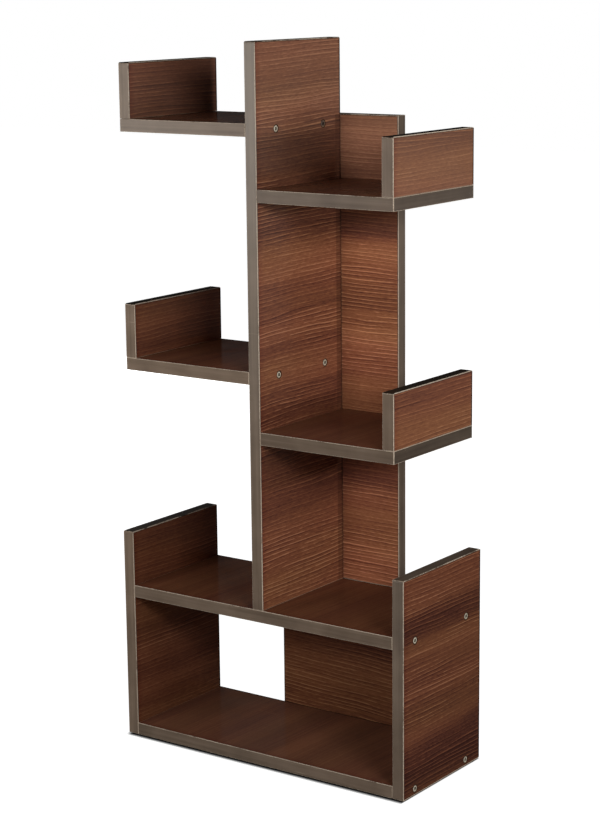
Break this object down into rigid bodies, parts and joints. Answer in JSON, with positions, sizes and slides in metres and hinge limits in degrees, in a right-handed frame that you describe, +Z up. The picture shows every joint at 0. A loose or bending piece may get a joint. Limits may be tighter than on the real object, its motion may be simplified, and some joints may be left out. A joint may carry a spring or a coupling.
{
  "type": "tree bookshelf",
  "caption": "Free-standing tree bookshelf: a central upright carries staggered shelves with end guards above an open base box with a raised-sided middle shelf.",
  "frame": {"origin": "on the floor, under the centre of the object's box", "axes": "+Z up along the upright, -Y towards the front, +X to the right of someone who faces the front"},
  "size_m": [0.41, 0.1844, 0.8603],
  "materials": {
    "walnut_laminate": "satin walnut laminate with the grain running across the upright boards",
    "edge_band": "matt taupe edge banding",
    "joining_screw": "bright nickel-plated steel",
    "glide_foot": "matt black plastic"
  },
  "bodies": {
    "root": {"left_side_panel": "walnut_laminate", "right_side_panel": "walnut_laminate", "bottom_board": "walnut_laminate", "middle_shelf": "walnut_laminate", "trunk_upright": "walnut_laminate", "trunk_back_panel": "walnut_laminate", "lower_back_panel": "walnut_laminate", "lower_right_shelf": "walnut_laminate", "lower_right_guard": "walnut_laminate", "lower_left_shelf": "walnut_laminate", "lower_left_guard": "walnut_laminate", "upper_right_shelf": "walnut_laminate", "upper_right_guard": "walnut_laminate", "upper_left_shelf": "walnut_laminate", "upper_left_guard": "walnut_laminate", "left_side_screw_bottom_front": "joining_screw", "left_side_screw_bottom_back": "joining_screw", "left_side_screw_middle_front": "joining_screw", "left_side_screw_middle_back": "joining_screw", "right_side_screw_bottom_front": "joining_screw", "right_side_screw_bottom_back": "joining_screw", "right_side_screw_middle_front": "joining_screw", "right_side_screw_middle_back": "joining_screw", "lower_right_shelf_screw_front": "joining_screw", "lower_right_shelf_screw_back": "joining_screw", "lower_left_shelf_screw_front": "joining_screw", "lower_left_shelf_screw_back": "joining_screw", "upper_right_shelf_screw_front": "joining_screw", "upper_right_shelf_screw_back": "joining_screw", "upper_left_shelf_screw_front": "joining_screw", "upper_left_shelf_screw_back": "joining_screw", "lower_right_guard_screw_front": "joining_screw", "lower_right_guard_screw_back": "joining_screw", "lower_left_guard_screw_front": "joining_screw", "lower_left_guard_screw_back": "joining_screw", "upper_right_guard_screw_front": "joining_screw", "upper_right_guard_screw_back": "joining_screw", "upper_left_guard_screw_front": "joining_screw", "upper_left_guard_screw_back": "joining_screw", "upright_foot_screw_front": "joining_screw", "upright_foot_screw_back": "joining_screw", "trunk_panel_screw_low": "joining_screw", "trunk_panel_screw_mid": "joining_screw", "trunk_panel_screw_high": "joining_screw", "trunk_panel_screw_lower_right": "joining_screw", "trunk_panel_screw_upper_right": "joining_screw", "lower_panel_screw_bottom_left": "joining_screw", "lower_panel_screw_bottom_right": "joining_screw", "lower_panel_screw_middle_left": "joining_screw", "lower_panel_screw_middle_right": "joining_screw", "glide_foot_front_left": "glide_foot", "glide_foot_back_left": "glide_foot", "glide_foot_front_right": "glide_foot", "glide_foot_back_right": "glide_foot"}
  },
  "joints": []
}
